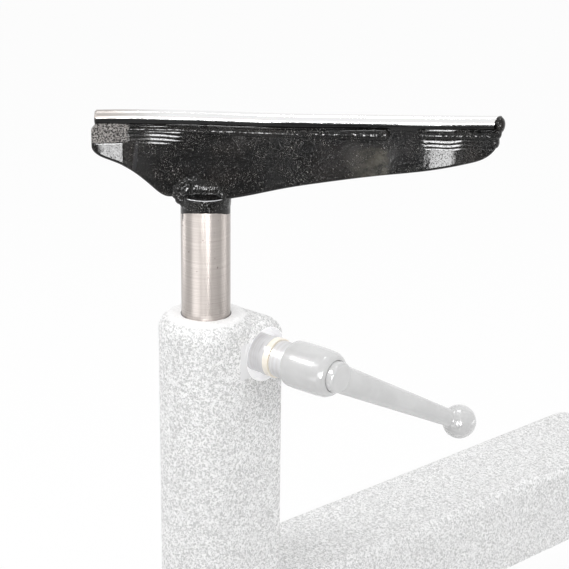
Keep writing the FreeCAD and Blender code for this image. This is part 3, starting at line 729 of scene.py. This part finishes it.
body = bmesh.new()
rounds = ((post_top - 0.005, post_radius + paint_depth), (sleeve_top - 0.0002, post_radius + paint_depth),
          (sleeve_top, post_radius), (sleeve_top + 0.0016, post_radius - post_bevel))
sleeve_sides = 96
turns = [math.tau * step / sleeve_sides for step in range(sleeve_sides)]
hoops = []
for height, radius in rounds:
    places = [before_rest(radius * math.cos(turn), radius * math.sin(turn), height) for turn in turns]
    hoops.append([body.verts.new(spot) for spot in places])
for lower, higher in zip(hoops, hoops[1:]):
    for step in range(sleeve_sides):
        after = (step + 1) % sleeve_sides
        body.faces.new((lower[step], lower[after], higher[after], higher[step]))
body.faces.new(list(reversed(hoops[0])))
body.faces.new(hoops[-1])

# Places of the lumps in millimetres: along the rest, and above the post's top.
left_heap = ((-4.5, 10.2), (-8.0, 9.8), (-11.6, 8.0), (-14.0, 5.2), (-14.3, 1.8), (-12.4, -0.8),
             (-10.0, -2.8))
right_toe = ((12.9, 12.0), (14.2, 11.1), (15.3, 9.9), (16.3, 8.4), (17.1, 6.8), (17.8, 5.0), (18.2, 3.4))
fillet_lumps = 9
fillet_left = -0.0056
fillet_pitch = 0.0015
for side in (1, -1):
    for step in range(fillet_lumps):
        along = fillet_left + fillet_pitch * step
        lump(body, along, side * 0.0030, post_top + 0.0052, (0.0026, 0.0048, 0.0060))
    for along, height in left_heap:
        spread = 0.0044 if height < 0 else 0.0036
        lump(body, along / 1000, side * spread, post_top + height / 1000, (0.0027, 0.0026, 0.0024))
    lump(body, -0.0085, side * 0.0030, post_top + 0.0035, (0.0058, 0.0030, 0.0062))
    lump(body, 0.0085, side * 0.0029, post_top + 0.0066, (0.0088, 0.0010, 0.0068))
    for along, height in right_toe:
        lump(body, along / 1000, side * 0.0030, post_top + height / 1000, (0.0011, 0.0006, 0.0011))
    lump(body, 0.0085, side * 0.0056, post_top + 0.0030, (0.0030, 0.0030, 0.0030))
heaped_weld = weld_piece("heaped_weld", body, 3, 0.00022)
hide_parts("post_weld")

# ---------------------------------------------------------------- rod weld
# Beads under the rod on both faces of the plate, smooth where they were dressed and lumpy at the right,
# where the weld is also heaped over the rod's end. Each bead follows the plate's bend.
bead_way = bpy.data.node_groups.new("weld_bead", "GeometryNodeTree")
bead_way.interface.new_socket("Geometry", in_out="INPUT", socket_type="NodeSocketGeometry")
bead_size = bead_way.interface.new_socket("Bead radius", in_out="INPUT", socket_type="NodeSocketFloat")
bead_ripple = bead_way.interface.new_socket("Ripple share", in_out="INPUT", socket_type="NodeSocketFloat")
bead_swell = bead_way.interface.new_socket("Swell towards the end", in_out="INPUT", socket_type="NodeSocketFloat")
bead_finish = bead_way.interface.new_socket("Finish", in_out="INPUT", socket_type="NodeSocketMaterial")
bead_way.interface.new_socket("Geometry", in_out="OUTPUT", socket_type="NodeSocketGeometry")
given = bead_way.nodes.new("NodeGroupInput")
line = Wire.node(bead_way, "GeometryNodeMeshToCurve", values={"Mesh": Wire(given.outputs["Geometry"])})
line = Wire.node(bead_way, "GeometryNodeResampleCurve", {"mode": "LENGTH"}, {"Curve": line, "Length": 0.0008})
share = Wire.node(bead_way, "GeometryNodeSplineParameter")
length = share.other("Length")
place = Wire.node(bead_way, "GeometryNodeInputPosition")
ripple = Wire.node(bead_way, "ShaderNodeTexNoise", values={"Vector": place, "Scale": 260.0, "Detail": 3.0})
whole = Wire.node(bead_way, "GeometryNodeSplineLength")
to_end = length.maths("MINIMUM", length, whole - length)
rounding = to_end.maths("MINIMUM", to_end * 420.0, 1.0) ** 0.5
width = 1 - Wire(given.outputs["Swell towards the end"]) * (2 - share.step(0.72, 0.93) - share.step(0.28, 0.42))
width = width * ((ripple - 0.5) * Wire(given.outputs["Ripple share"]) + 1)
width = width * rounding * Wire(given.outputs["Bead radius"]) + 0.00005
line = Wire.node(bead_way, "GeometryNodeSetCurveRadius", values={"Curve": line, "Radius": width})
ring = Wire.node(bead_way, "GeometryNodeCurvePrimitiveCircle", values={"Resolution": 20, "Radius": 1.0})
tube_values = {"Curve": line, "Profile Curve": ring, "Fill Caps": True}
tube = Wire.node(bead_way, "GeometryNodeCurveToMesh", values=tube_values)
if "Scale" in tube.socket.node.inputs:
    bead_way.links.new(width.socket, tube.socket.node.inputs["Scale"])
tube = Wire.node(bead_way, "GeometryNodeRealizeInstances", values={"Geometry": tube})
tube = Wire.node(bead_way, "GeometryNodeSetMaterial",
                 values={"Geometry": tube, "Material": Wire(given.outputs["Finish"])})
result = bead_way.nodes.new("NodeGroupOutput")
bead_way.links.new(tube.socket, result.inputs["Geometry"])

# Each run has its start, end, radius, share of ripple and swell.
bead_runs = ((-0.050, 0.092, 0.0030, 0.25, 0.30), (0.105, 0.1462, 0.0020, 0.9, 0.0))
bead_drop = 0.0052
path_pitch = 0.002
body = bmesh.new()
for start, end, radius, ripple_share, swell in bead_runs:
    for side in (1, -1):
        count = int((end - start) / path_pitch)
        spots = []
        for index in range(count + 1):
            along = start + (end - start) * index / count
            spots.append(before_rest(along, float(bend(along)) + side * plate_half, rod_centre - bead_drop))
        path_mesh = bpy.data.meshes.new("bead_path")
        path_mesh.from_pydata(spots, [(index, index + 1) for index in range(count)], [])
        path = bpy.data.objects.new("bead_path", path_mesh)
        scene.collection.objects.link(path)
        bead = path.modifiers.new("bead", "NODES")
        bead.node_group = bead_way
        bead[bead_size.identifier] = radius
        bead[bead_ripple.identifier] = ripple_share
        bead[bead_swell.identifier] = swell
        bead[bead_finish.identifier] = gloss_black
        finished(path)
        body.from_mesh(path.data)
        bpy.data.objects.remove(path)
end_lumps = ((0.1458, 0.0005, 0.0002, (0.0029, 0.0047, 0.0042)),
             (0.1452, 0.0005, 0.0045, (0.0020, 0.0040, 0.0030)),
             (0.1436, 0.0005, 0.0090, (0.0028, 0.0040, 0.0036)),
             (0.1405, 0.0026, 0.0056, (0.0034, 0.0028, 0.0022)))
for along, front, drop, radii in end_lumps:
    lump(body, along, float(bend(along)) + front, rod_centre - drop, radii)
rod_beads = weld_piece("rod_beads", body, 2, 0.00012)
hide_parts("rod_weld")

# ---------------------------------------------------------------- gauge rod
# Ground steel rod along the plate's top edge, which the turning tool slides on. It is welded on, and the
# black paint covers its lower half and its right end.
paint_border = 0.0008
# Bright steel, and a darker tone for the rod's left end, which is painted shade.
bright_steel, shaded_end_steel = (0.86, 0.86, 0.86, 1), (0.40, 0.37, 0.35, 1)
rod_black = (0.005, 0.005, 0.005, 1)

polished_rod, tree = blank_finish("polished_rod")
place, x, y, z = position(tree)
along = x * math.cos(rest_turn) + y * math.sin(rest_turn)
wipe = grain(tree, stretched(tree, place, (40.0, 40.0, 500.0)), 1.0, 3.0)
border = grain(tree, place, 240.0, 3.0) * 0.0008 + z
covered = 1 - border.step(rod_centre + paint_border, rod_centre + paint_border + 0.0004)
end_face = along.step(0.1455, 0.1462)
covered = covered.maths("MAXIMUM", covered, end_face)
# The rod's left end is painted darker, a painted shade where it mirrors less light; it is also rougher there.
left_end_shade = 1 - along.step(-0.050, -0.015)
steel = blend(tree, left_end_shade, bright_steel, shaded_end_steel)
coat(tree, {"Base Color": blend(tree, covered, steel, rod_black),
            "Metallic": 1 - covered, "Roughness": 0.08 + wipe * 0.12 + left_end_shade * (1 - covered) * 0.25,
            "Specular IOR Level": 0.3,
            "Normal": relief(tree, wipe, 0.00002)})
nodes["gauge_rod"].material_slots[0].material = polished_rod
